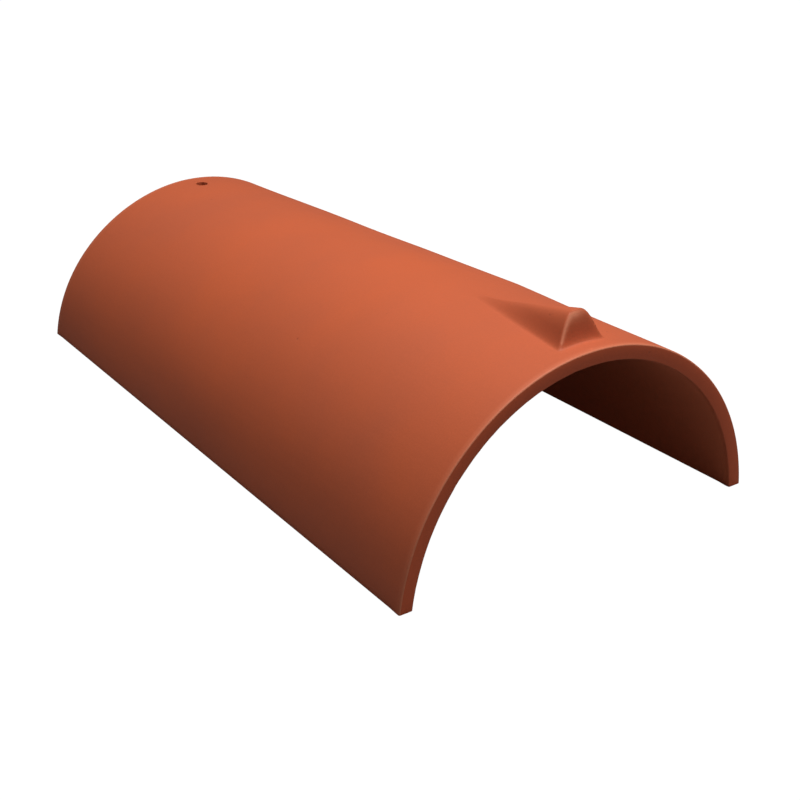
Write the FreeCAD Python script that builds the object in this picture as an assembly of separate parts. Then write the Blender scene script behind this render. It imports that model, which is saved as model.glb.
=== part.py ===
import FreeCAD, Part
import math
import os

# Tapered half-round ridge tile, one fired piece. Millimetres, +Z up, lying on its two long edges.
# The wide end faces -Y, the narrow end faces +Y, and the origin is at the middle of the footprint.

# ---- driving dimensions -------------------------------------------------------------------
tile_length = 423.0          # along the ridge
wall = 9.0                   # clay thickness
wide_half = 125.5            # outer half width on the floor, wide end
wide_rise = 119.2            # crown height, wide end
knee_from_wide = 131.0       # where the crown line starts to fall faster, from the wide end
knee_rise = 114.0            # crown height there
narrow_half = 107.0          # outer half width on the floor, narrow end
narrow_rise = 91.2           # crown height, narrow end
arch_drop = 11.0             # the arch is an ellipse centred this far below the floor

arris = 1.0                  # rounding of the outer edge of the wide end
arris_narrow = 1.0           # and of the narrow end

hole_dia = 8.0               # nail hole through the crown
hole_from_narrow = 17.5      # its centre, from the narrow end
hole_shift = 2.0             # and this far to +X of the crown line

nib_front = 13.0             # foot of the nib's front face, from the wide end
nib_lean = 4.0               # the front face leans back by this much at its top
nib_height = 18.0            # above the crown, at the front
nib_length = 76.0            # from its front to the end of its ramp
nib_tail_height = 2.4        # step left at the end of the ramp
nib_half_foot = 14.2         # half width on the crown, front
nib_half_top = 8.9           # half width along the top, front
nib_half_tail = 4.2          # half width on the crown at the end of the ramp
nib_half_tail_top = 3.4      # half width along the top there
nib_tail_lean = 1.0          # the end of the ramp leans forward by this much
nib_round = 3.0              # rounding along the nib's edges
nib_shift = 3.0              # it sits this far to +X of the crown line
nib_root = 5.0               # how far it is keyed down into the wall

trim = 5.0                   # waste that is modelled past a cut face, then cut away

# ---- values that follow -------------------------------------------------------------------
y_wide = -tile_length / 2
y_knee = y_wide + knee_from_wide
y_narrow = tile_length / 2
share = knee_from_wide / tile_length
knee_half = wide_half + (narrow_half - wide_half) * share


def semi_axes(half, rise):
    """Semi-axes of the outer ellipse that meets the floor at half and crowns at rise."""
    tall = rise + arch_drop
    return half / math.sqrt(1 - (arch_drop / tall) ** 2), tall


def arch(y, half, rise, inset, floor):
    """Closed arch outline in the plane at y, moved in by inset and closed along z = floor."""
    wide, tall = semi_axes(half, rise)
    wide, tall = wide - inset, tall - inset
    low = math.asin((floor + arch_drop) / tall)

    def point(angle):
        return FreeCAD.Vector(wide * math.cos(angle), y, -arch_drop + tall * math.sin(angle))

    turns = [low + (math.pi - 2 * low) * i / 24 for i in range(25)]
    curve = Part.BSplineCurve()
    curve.interpolate([point(t) for t in turns])
    return Part.Wire([curve.toShape(), Part.makeLine(point(math.pi - low), point(low))])


def stretch(inset, floor, over):
    """Solid under the arch between the ends, run past both of them by over."""
    def at(y, half, rise):
        return arch(y, half, rise, inset, floor)

    front_slope = (knee_half - wide_half) / knee_from_wide
    front_fall = (knee_rise - wide_rise) / knee_from_wide
    back_fall = (narrow_rise - knee_rise) / (tile_length - knee_from_wide)
    wires = [
        at(y_wide - over, wide_half - front_slope * over, wide_rise - front_fall * over),
        at(y_knee, knee_half, knee_rise),
        at(y_narrow + over, narrow_half + front_slope * over, narrow_rise + back_fall * over),
    ]
    return Part.makeLoft(wires, True, True)


# ---- body ---------------------------------------------------------------------------------
# The arch runs on below the floor, and the two long edges are then cut flat at z = 0.
body = stretch(0.0, -trim, 0.0).cut(stretch(wall, -trim - 1.0, trim))
waste = Part.makeBox(4 * wide_half, 2 * tile_length, 3 * trim,
                     FreeCAD.Vector(-2 * wide_half, -tile_length, -3 * trim))
body = body.cut(waste)


def end_edges(shape, y, inset):
    """The curved edge of an end face, outer for inset 0 and inner for inset wall."""
    rise = wide_rise if y < 0 else narrow_rise
    found = []
    for edge in shape.Edges:
        box = edge.BoundBox
        if abs(box.YMin - y) < 0.05 and abs(box.YMax - y) < 0.05:
            if abs(box.ZMax - (rise - inset)) < 0.3 and box.ZMax - box.ZMin > rise / 2:
                found.append(edge)
    return found


body = body.makeFillet(arris, end_edges(body, y_wide, 0.0))
body = body.makeFillet(arris_narrow, end_edges(body, y_narrow, 0.0))


# ---- nib ----------------------------------------------------------------------------------
def nib_outline(y_foot, y_top, crown, rise, foot, top, sunk):
    """Four-cornered outline whose sloping sides run on down into the wall by sunk."""
    flare = (foot - top) / rise * sunk
    y_low = y_foot - (y_top - y_foot) / rise * sunk
    corners = [
        (-foot - flare, y_low, crown - sunk),
        (foot + flare, y_low, crown - sunk),
        (top, y_top, crown + rise),
        (-top, y_top, crown + rise),
    ]
    points = [FreeCAD.Vector(x + nib_shift, y, z) for x, y, z in corners]
    return Part.makePolygon(points + [points[0]])


def crown_at(from_wide):
    return wide_rise + (knee_rise - wide_rise) * from_wide / knee_from_wide


nib_end = nib_front + nib_length
y_front = y_wide + nib_front
y_end = y_wide + nib_end
nib = Part.makeLoft([
    nib_outline(y_front, y_front + nib_lean, crown_at(nib_front), nib_height,
                nib_half_foot, nib_half_top, nib_root),
    nib_outline(y_end, y_end - nib_tail_lean, crown_at(nib_end), nib_tail_height,
                nib_half_tail, nib_half_tail_top, nib_root),
], True, True)
upper = [e for e in nib.Edges if e.BoundBox.ZMax > crown_at(nib_front) + nib_height / 4]
nib = nib.makeFillet(nib_round, upper)

# ---- nail hole ----------------------------------------------------------------------------
y_hole = y_narrow - hole_from_narrow
drill_start = FreeCAD.Vector(hole_shift, y_hole, narrow_rise - 3 * wall)
drill = Part.makeCylinder(hole_dia / 2, 6 * wall, drill_start)

tile = body.fuse(nib).cut(drill).removeSplitter()
if len(tile.Solids) != 1 or not tile.isValid():
    raise RuntimeError("the tile isn't one valid solid")

os.makedirs("parts", exist_ok=True)
tile.Solids[0].exportStep("parts/ridge_tile.step")
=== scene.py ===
import math

import bpy
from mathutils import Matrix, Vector, noise


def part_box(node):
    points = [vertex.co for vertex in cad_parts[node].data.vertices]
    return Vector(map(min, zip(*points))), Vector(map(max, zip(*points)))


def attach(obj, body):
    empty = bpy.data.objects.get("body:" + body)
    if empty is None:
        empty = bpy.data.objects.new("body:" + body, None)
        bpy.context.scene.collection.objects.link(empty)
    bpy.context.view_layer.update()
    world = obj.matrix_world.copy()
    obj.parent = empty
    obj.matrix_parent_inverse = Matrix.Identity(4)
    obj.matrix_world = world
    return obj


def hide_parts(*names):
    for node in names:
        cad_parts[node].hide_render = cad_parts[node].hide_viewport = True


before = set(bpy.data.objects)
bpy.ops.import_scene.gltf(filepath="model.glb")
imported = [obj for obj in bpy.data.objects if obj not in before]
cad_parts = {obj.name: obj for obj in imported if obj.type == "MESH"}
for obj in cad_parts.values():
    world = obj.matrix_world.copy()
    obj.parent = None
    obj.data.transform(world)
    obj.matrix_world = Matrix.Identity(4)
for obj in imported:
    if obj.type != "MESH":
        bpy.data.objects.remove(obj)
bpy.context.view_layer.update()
bpy.ops.object.select_all(action="DESELECT")


# Camera. A long lens looks down on the tile from the wide end, a little to the left,
# so that the nib, the left flank, the end face and part of the inside all show.
camera_target = (0.0235, -0.0104, 0.0020)
camera_azimuth = math.radians(-36.84)
camera_height = math.radians(26.27)
camera_roll = math.radians(0.93)
camera_distance = 1.1862

bpy.ops.object.camera_add()
camera = bpy.context.object
camera.name = "camera"
camera.data.sensor_width = 36.0
camera.data.lens = 83.25
camera.data.clip_end = 20.0
level = math.cos(camera_height) * camera_distance
camera.location = (
    camera_target[0] + math.sin(camera_azimuth) * level,
    camera_target[1] - math.cos(camera_azimuth) * level,
    camera_target[2] + math.sin(camera_height) * camera_distance,
)
camera.rotation_euler = (math.pi / 2 - camera_height, 0.0, camera_azimuth)
camera.rotation_euler.rotate_axis("Z", camera_roll)
bpy.context.scene.camera = camera


# The tile's arch. A rolled sheet of clay, laid over a tapered former while it is soft, with
# both ends trimmed square and the two long edges cut flat to stand on the roof.
low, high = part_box("ridge_tile")
length = high.y - low.y
wall = 0.009
wide_half = 0.1255                   # half width on the floor and crown height, wide end
wide_rise = 0.1192
knee_from_wide = 0.131               # from here to the narrow end the crown falls faster
knee_rise = 0.114
narrow_half = 0.107
narrow_rise = 0.0912
arch_drop = 0.011                    # the arch is an ellipse centred this far below the floor
rows_to_knee = 30
rows_to_narrow = 66
columns = 128
hair = 1e-5


def station(y):
    """Half width on the floor and crown height of the outer skin at y."""
    from_wide = y - low.y
    half = wide_half + (narrow_half - wide_half) * from_wide / length
    if from_wide < knee_from_wide:
        rise = wide_rise + (knee_rise - wide_rise) * from_wide / knee_from_wide
    else:
        beyond = (from_wide - knee_from_wide) / (length - knee_from_wide)
        rise = knee_rise + (narrow_rise - knee_rise) * beyond
    return half, rise


def semi_axes(y):
    half, rise = station(y)
    tall = rise + arch_drop
    return half / math.sqrt(1 - (arch_drop / tall) ** 2), tall


def over_former(share, y):
    """Point of the outer skin at y, from share 0 at the left foot to 1 at the right one."""
    wide, tall = semi_axes(y)
    foot = math.asin(arch_drop / tall)
    turn = math.pi - foot - share * (math.pi - 2 * foot)
    return wide * math.cos(turn), y, tall * math.sin(turn) - arch_drop


def is_outer(co):
    """True in the outer half of the wall's thickness."""
    wide, tall = semi_axes(co.y)
    return math.hypot(co.x / wide, (co.z + arch_drop) / tall) > 1 - wall / 2 / wide


def select(mesh, kind, wanted):
    """In edit mode, selects the vertices, edges or faces for which wanted is true."""
    bpy.ops.object.mode_set(mode="EDIT")
    bpy.ops.mesh.select_mode(type=kind)
    bpy.ops.mesh.select_all(action="DESELECT")
    bpy.ops.object.mode_set(mode="OBJECT")
    for item in {"VERT": mesh.vertices, "EDGE": mesh.edges, "FACE": mesh.polygons}[kind]:
        item.select = wanted(item)
    bpy.ops.object.mode_set(mode="EDIT")


def flatten(wanted, scale, centre):
    select(clay, "VERT", lambda vertex: wanted(vertex.co))
    bpy.ops.transform.resize(value=scale, center_override=centre)
    bpy.ops.object.mode_set(mode="OBJECT")


def round_arris(wanted, radius, segments):
    """Rounds the edges whose two ends are both wanted."""
    select(clay, "EDGE", lambda edge: all(wanted(clay.vertices[i].co) for i in edge.vertices))
    bpy.ops.mesh.bevel(offset=radius, segments=segments, affect="EDGES", profile=0.5)
    bpy.ops.object.mode_set(mode="OBJECT")


rows = rows_to_knee + rows_to_narrow
bpy.ops.mesh.primitive_grid_add(x_subdivisions=columns, y_subdivisions=rows, size=1.0)
tile = bpy.context.object
tile.name = "clay_tile"
clay = tile.data
for vertex in clay.vertices:
    row = round((vertex.co.y + 0.5) * rows)
    if row <= rows_to_knee:
        from_wide = knee_from_wide * row / rows_to_knee
    else:
        from_wide = knee_from_wide + (length - knee_from_wide) * (row - rows_to_knee) / rows_to_narrow
    vertex.co = over_former(vertex.co.x + 0.5, low.y + from_wide)

thickness = tile.modifiers.new("thickness", "SOLIDIFY")
thickness.thickness = wall
thickness.offset = -1.0
thickness.use_even_offset = True
bpy.ops.object.modifier_apply(modifier=thickness.name)

trimmed = 0.0012                     # what lies this near to a cut is drawn onto it
outer_arris = 0.0010
inner_arris = 0.0008
foot_arris = 0.0005
flatten(lambda co: co.y < low.y + trimmed, (1, 0, 1), (0, low.y, 0))
flatten(lambda co: co.y > high.y - trimmed, (1, 0, 1), (0, high.y, 0))
flatten(lambda co: co.z < trimmed, (1, 1, 0), (0, 0, 0))
round_arris(lambda co: co.y < low.y + hair and is_outer(co), outer_arris, 4)
round_arris(lambda co: co.y > high.y - hair and is_outer(co), outer_arris, 4)
round_arris(lambda co: co.y < low.y + hair and not is_outer(co), inner_arris, 2)
round_arris(lambda co: co.y > high.y - hair and not is_outer(co), inner_arris, 2)
round_arris(lambda co: co.z < hair and low.y + trimmed < co.y < high.y - trimmed, foot_arris, 2)


# The nib, pressed up out of the crown near the wide end to stop the tile that laps over it.
# Its face to the wide end is steep, its back is a long ramp, and all its corners are soft.
nib_front = low.y + 0.013            # foot of the steep face
nib_end = nib_front + 0.076          # end of the ramp
nib_lean = 0.0040
nib_height = 0.0180
nib_tail_height = 0.0018
nib_half_foot = 0.0142
nib_half_tail = 0.0042
nib_side_slope = 3.4                 # rise of its sides over their run
nib_tail_slope = 0.6
nib_shift = 0.003                    # it was pressed this far to +X of the crown line
nib_shoulder = 0.0220                # soft width of its shoulders, front corners and foot
nib_corner = 0.0085
nib_highlight_width = 0.0060                    # width of the painted highlight on its front arris, to the left
nib_highlight_from = nib_shift + 0.006    # where that painted highlight starts, and the width it fades in over
nib_highlight_fade = 0.008
nib_foot = 0.0075
nib_margin = 0.013                   # crown around it that is divided finely


def lower(a, b, soft):
    """The lower of two heights, with the corner between them rounded over soft."""
    reach = max(soft - abs(a - b), 0.0) / soft
    return min(a, b) - reach * reach * soft / 4


def nib_faces(x, y):
    """Heights over the crown line of the nib's long back and of its steep front."""
    along = (y - nib_front - nib_lean) / (nib_end - nib_front - nib_lean)
    ramp = nib_height + (nib_tail_height - nib_height) * along
    half = nib_half_foot + (nib_half_tail - nib_half_foot) * along
    side = (half - abs(x - nib_shift)) * nib_side_slope
    tail = (nib_end - y) * nib_tail_slope + nib_tail_height
    front = (y - nib_front) * nib_height / nib_lean
    return lower(lower(ramp, side, nib_shoulder), tail, nib_tail_height), front


def by_nib(co, margin):
    beside = abs(co.x - nib_shift) < nib_half_foot + margin
    along = low.y + trimmed < co.y < nib_end + margin
    return beside and along and co.z > knee_rise - wall and is_outer(co)


select(clay, "FACE", lambda face: all(by_nib(clay.vertices[i].co, nib_margin) for i in face.vertices))
bpy.ops.mesh.subdivide(number_cuts=5, smoothness=0.0)
bpy.ops.object.mode_set(mode="OBJECT")
for vertex in clay.vertices:
    co = vertex.co
    if by_nib(co, nib_margin):
        pressed = station(co.y)[1] + lower(*nib_faces(co.x, co.y), nib_corner)
        vertex.co.z = max(co.z, -lower(-co.z, -pressed, nib_foot))


# The nail hole, punched down through the crown at the narrow end while the clay is soft,
# so that its mouth is drawn in a little.
hole_radius = 0.0040
hole_shift = 0.002                   # to +X of the crown line
hole_y = high.y - 0.0175
hole_top = station(hole_y)[1]
mouth = 0.0003                       # height of each of the mouth's three flared steps

bpy.ops.mesh.primitive_cylinder_add(vertices=64, radius=hole_radius, depth=4 * wall,
                                    location=(hole_shift, hole_y, hole_top - mouth - 2 * wall))
punch = bpy.context.object
select(punch.data, "FACE", lambda face: face.normal.z > 0.9)
for widen in (1.04, 1.14, 1.2):
    bpy.ops.mesh.extrude_region_move(TRANSFORM_OT_translate={"value": (0, 0, mouth)})
    bpy.ops.transform.resize(value=(widen, widen, 1), center_override=(hole_shift, hole_y, hole_top))
bpy.ops.object.mode_set(mode="OBJECT")
punch.select_set(False)
bpy.context.view_layer.objects.active = tile
tile.select_set(True)
hole = tile.modifiers.new("nail_hole", "BOOLEAN")
hole.object = punch
bpy.ops.object.modifier_apply(modifier=hole.name)
bpy.data.objects.remove(punch)


# Handling. The sheet is never quite even, and the trimmed inner arris of the wide end is
# ragged where the wire dragged the clay. What stands on the floor stays flat.
sag = 0.0005
sag_scale = 14.0
ragged = 0.0003
ragged_reach = 0.0015                # from the end face
ragged_coarse = 260.0
ragged_fine = 700.0
still = 0.002                        # nothing moves below this height
freed = 0.02                         # and it moves fully this far above that
for vertex in clay.vertices:
    co = vertex.co
    wave = noise.noise(co * sag_scale) - 0.5
    inward = Vector((co.x, 0, co.z + arch_drop)).normalized()
    hold = min(1.0, max(0.0, co.z - still) / freed)
    vertex.co += inward * wave * sag * hold
    if co.y < low.y + ragged_reach and not is_outer(co):
        tear = max(0.0, noise.noise(co * ragged_coarse) + 0.5 * noise.noise(co * ragged_fine))
        vertex.co += inward * tear * ragged * hold

# Three masks that the finish reads: the arrises, which get a painted highlight, the inner side, which gets
# painted light, and the ends, where the wire has cut through to redder clay.
painted_highlight = clay.attributes.new("painted_highlight", "FLOAT", "POINT")
inside = clay.attributes.new("inside", "FLOAT", "POINT")
cut_end = clay.attributes.new("cut_end", "FLOAT", "POINT")
highlight_most = 0.7
highlight_fade = 0.0020
for i, vertex in enumerate(clay.vertices):
    co = vertex.co
    from_end = min(co.y - low.y, high.y - co.y)
    # Painted highlight: a pale line along the outer arrises of both ends.
    at_end = max(0.0, highlight_most - from_end / highlight_fade) if is_outer(co) else 0.0
    painted_highlight.data[i].value = at_end if from_end > hair else 0.0
    # Painted highlight along the nib's front arris, strongest on its left side.
    if by_nib(co, 0.0):
        back, front = nib_faces(co.x, co.y)
        if min(back, front) > nib_corner / 4:
            leftward = min(1.0, max(0.0, (nib_highlight_from - co.x) / nib_highlight_fade))
            painted_highlight.data[i].value = leftward * max(0.0, 1 - abs(back - front) / nib_highlight_width)
    # The inner side, which the finish gives painted light.
    hidden = from_end > trimmed and co.z > hair and not is_outer(co)
    inside.data[i].value = 1.0 if hidden else 0.0
    cut_end.data[i].value = 1.0 if from_end < hair else 0.0
bpy.ops.object.shade_smooth_by_angle(angle=math.radians(40))


# Its finish. Iron-rich clay, fired without a glaze: matt, slightly uneven in colour, with a fine sandy
# tooth, drag lines along the ridge, small pits with painted shade, paler arrises that are a painted
# highlight and painted light on the inner side.
def group_sockets(group, inputs, outputs):
    for name, kind, value in inputs:
        socket = group.interface.new_socket(name, in_out="INPUT", socket_type=kind)
        socket.default_value = value
    for name, kind in outputs:
        group.interface.new_socket(name, in_out="OUTPUT", socket_type=kind)


def node(tree, kind, place, **settings):
    made = tree.nodes.new(kind)
    made.location = place
    for name, value in settings.items():
        setattr(made, name, value)
    return made


def set_inputs(made, **values):
    for name, value in values.items():
        made.inputs[name.replace("_", " ")].default_value = value
    return made


def ramp(tree, place, stops):
    made = node(tree, "ShaderNodeValToRGB", place)
    elements = made.color_ramp.elements
    for element, (at, shade) in zip(elements, stops):
        element.position = at
        element.color = (shade, shade, shade, 1)
    return made


def mixed(tree, place, blend_type, factor, first, second):
    """A colour mix; each of factor, first and second is a socket or a plain value."""
    made = node(tree, "ShaderNodeMix", place, data_type="RGBA", blend_type=blend_type)
    for socket, value in ((made.inputs[0], factor), (made.inputs[6], first), (made.inputs[7], second)):
        if isinstance(value, bpy.types.NodeSocket):
            tree.links.new(value, socket)
        else:
            socket.default_value = value
    return made.outputs[2]


def sandy_clay():
    """Group that gives the cloudy colour mask, the grain mask, the pit mask and a height."""
    tree = bpy.data.node_groups.new("sandy_clay", "ShaderNodeTree")
    group_sockets(
        tree,
        [("Vector", "NodeSocketVector", (0, 0, 0))],
        [("Cloud", "NodeSocketFloat"), ("Grain", "NodeSocketFloat"),
         ("Pit", "NodeSocketFloat"), ("Height", "NodeSocketFloat")],
    )
    link = tree.links.new
    start = node(tree, "NodeGroupInput", (-900, 0))
    end = node(tree, "NodeGroupOutput", (900, 0))

    cloud = set_inputs(node(tree, "ShaderNodeTexNoise", (-600, 300)), Scale=11.0, Detail=4.0, Roughness=0.55)
    link(start.outputs["Vector"], cloud.inputs["Vector"])
    cloud_mask = ramp(tree, (-350, 300), ((0.32, 0.0), (0.68, 1.0)))
    link(cloud.outputs["Fac"], cloud_mask.inputs["Fac"])
    link(cloud_mask.outputs["Color"], end.inputs["Cloud"])

    grain = set_inputs(node(tree, "ShaderNodeTexNoise", (-600, 0)), Scale=900.0, Detail=3.0, Roughness=0.7)
    link(start.outputs["Vector"], grain.inputs["Vector"])
    link(grain.outputs["Fac"], end.inputs["Grain"])

    stretch = node(tree, "ShaderNodeMapping", (-700, -250))
    stretch.inputs["Scale"].default_value = (1.0, 0.05, 1.0)
    link(start.outputs["Vector"], stretch.inputs["Vector"])
    drag = set_inputs(node(tree, "ShaderNodeTexNoise", (-500, -250)), Scale=170.0, Detail=3.0, Roughness=0.6)
    link(stretch.outputs["Vector"], drag.inputs["Vector"])

    cells = set_inputs(node(tree, "ShaderNodeTexVoronoi", (-600, -500)), Scale=95.0, Randomness=1.0)
    link(start.outputs["Vector"], cells.inputs["Vector"])
    dimple = ramp(tree, (-350, -500), ((0.03, 1.0), (0.10, 0.0)))
    link(cells.outputs["Distance"], dimple.inputs["Fac"])
    chance = ramp(tree, (-350, -700), ((0.78, 0.0), (0.90, 1.0)))
    link(cells.outputs["Color"], chance.inputs["Fac"])
    pit = node(tree, "ShaderNodeMath", (-100, -550), operation="MULTIPLY")
    link(dimple.outputs["Color"], pit.inputs[0])
    link(chance.outputs["Color"], pit.inputs[1])
    link(pit.outputs[0], end.inputs["Pit"])

    tooth = node(tree, "ShaderNodeMath", (100, -100), operation="MULTIPLY_ADD")
    tooth.inputs[1].default_value = 0.30
    link(grain.outputs["Fac"], tooth.inputs[0])
    lines = node(tree, "ShaderNodeMath", (-100, -250), operation="MULTIPLY")
    lines.inputs[1].default_value = 0.35
    link(drag.outputs["Fac"], lines.inputs[0])
    link(lines.outputs[0], tooth.inputs[2])
    height = node(tree, "ShaderNodeMath", (400, -200), operation="SUBTRACT")
    link(tooth.outputs[0], height.inputs[0])
    link(pit.outputs[0], height.inputs[1])
    link(height.outputs[0], end.inputs["Height"])
    return tree


fired_colour = (0.565, 0.114, 0.041, 1)
cloud_colour = (0.510, 0.109, 0.045, 1)
# Painted light: a lighter colour for the inner side.
inside_painted_light_colour = (0.700, 0.172, 0.078, 1)
# Painted highlight colour for the arrises.
highlight_colour = (0.780, 0.270, 0.150, 1)
cut_colour = (0.620, 0.112, 0.040, 1)
# Painted shade: a darker colour for the pits.
pit_shade_colour = (0.400, 0.085, 0.035, 1)

finish = bpy.data.materials.new("fired_clay_finish")
finish.use_nodes = True
tree = finish.node_tree
shader = tree.nodes["Principled BSDF"]
shader.inputs["Specular IOR Level"].default_value = 0.25
where = node(tree, "ShaderNodeTexCoord", (-1500, 0))
earth = node(tree, "ShaderNodeGroup", (-1250, 0), node_tree=sandy_clay())
tree.links.new(where.outputs["Object"], earth.inputs["Vector"])
highlight_mask = node(tree, "ShaderNodeAttribute", (-1250, -300), attribute_name="painted_highlight")
inside_mask = node(tree, "ShaderNodeAttribute", (-1250, -500), attribute_name="inside")
cut_mask = node(tree, "ShaderNodeAttribute", (-1250, -700), attribute_name="cut_end")
grain_shade = ramp(tree, (-1000, -200), ((0.25, 0.90), (0.75, 1.0)))
tree.links.new(earth.outputs["Grain"], grain_shade.inputs["Fac"])
colour = mixed(tree, (-900, 200), "MIX", earth.outputs["Cloud"], fired_colour, cloud_colour)
# Painted light: the inner side is made lighter.
colour = mixed(tree, (-700, 200), "MIX", inside_mask.outputs["Fac"], colour, inside_painted_light_colour)
colour = mixed(tree, (-600, 200), "MIX", cut_mask.outputs["Fac"], colour, cut_colour)
# Painted highlight on the arrises.
colour = mixed(tree, (-500, 200), "MIX", highlight_mask.outputs["Fac"], colour, highlight_colour)
colour = mixed(tree, (-300, 200), "MULTIPLY", 1.0, colour, grain_shade.outputs["Color"])
# Painted shade in the pits, which the bump also dents.
colour = mixed(tree, (-150, 200), "MIX", earth.outputs["Pit"], colour, pit_shade_colour)
tree.links.new(colour, shader.inputs["Base Color"])
sheen = node(tree, "ShaderNodeMapRange", (-500, -100))
set_inputs(sheen, To_Min=0.50, To_Max=0.68)
tree.links.new(earth.outputs["Grain"], sheen.inputs["Value"])
tree.links.new(sheen.outputs["Result"], shader.inputs["Roughness"])
relief = set_inputs(node(tree, "ShaderNodeBump", (-300, -300)), Strength=0.45, Distance=0.0004)
tree.links.new(earth.outputs["Height"], relief.inputs["Height"])
tree.links.new(relief.outputs["Normal"], shader.inputs["Normal"])
clay.materials.append(finish)

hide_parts("ridge_tile")
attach(tile, "root")


# Floor and light. A sheet of white paper under a long soft lamp that hangs over the ridge,
# with a weak one low in front for the end face and the inside.
bpy.ops.mesh.primitive_plane_add(size=12.0)
floor = bpy.context.object
floor.name = "floor"
paper = bpy.data.materials.new("floor_paper")
paper.use_nodes = True
tree = paper.node_tree
tree.nodes.clear()
out = node(tree, "ShaderNodeOutputMaterial", (400, 0))
blend = node(tree, "ShaderNodeMixShader", (200, 0))
matt = set_inputs(node(tree, "ShaderNodeBsdfDiffuse", (0, -100)), Color=(0.25, 0.247, 0.244, 1))
white = set_inputs(node(tree, "ShaderNodeEmission", (0, -250)), Color=(1, 1, 1, 1), Strength=1.15)
ray = node(tree, "ShaderNodeLightPath", (-400, 200))
part = node(tree, "ShaderNodeMath", (0, 200), operation="MULTIPLY")
part.inputs[1].default_value = 0.88
tree.links.new(ray.outputs["Is Camera Ray"], part.inputs[0])
tree.links.new(part.outputs[0], blend.inputs[0])
tree.links.new(matt.outputs[0], blend.inputs[1])
tree.links.new(white.outputs[0], blend.inputs[2])
tree.links.new(blend.outputs[0], out.inputs["Surface"])
floor.data.materials.append(paper)


def soft_lamp(name, place, aim, size, energy):
    bpy.ops.object.light_add(type="AREA", location=place)
    lamp = bpy.context.object
    lamp.name = name
    lamp.data.shape = "RECTANGLE"
    lamp.data.size, lamp.data.size_y = size
    lamp.data.energy = energy
    lamp.rotation_euler = (Vector(aim) - Vector(place)).to_track_quat("-Z", "Y").to_euler()


soft_lamp("ridge_lamp", (0.14, -0.14, 1.5), (0.0, 0.0, 0.05), (0.45, 1.0), 26.0)
soft_lamp("front_lamp", (-0.20, -1.60, 0.35), (0.0, 0.0, 0.05), (0.7, 0.5), 1.1)

room = bpy.data.worlds.new("room")
bpy.context.scene.world = room
room.use_nodes = True
tree = room.node_tree
air = tree.nodes["Background"]
air.inputs["Color"].default_value = (1, 1, 1, 1)
seen = node(tree, "ShaderNodeLightPath", (-500, 0))
strength = set_inputs(node(tree, "ShaderNodeMapRange", (-250, 0)), To_Min=0.085, To_Max=1.0)
tree.links.new(seen.outputs["Is Camera Ray"], strength.inputs["Value"])
tree.links.new(strength.outputs["Result"], air.inputs["Strength"])
bpy.context.scene.view_settings.view_transform = "Standard"
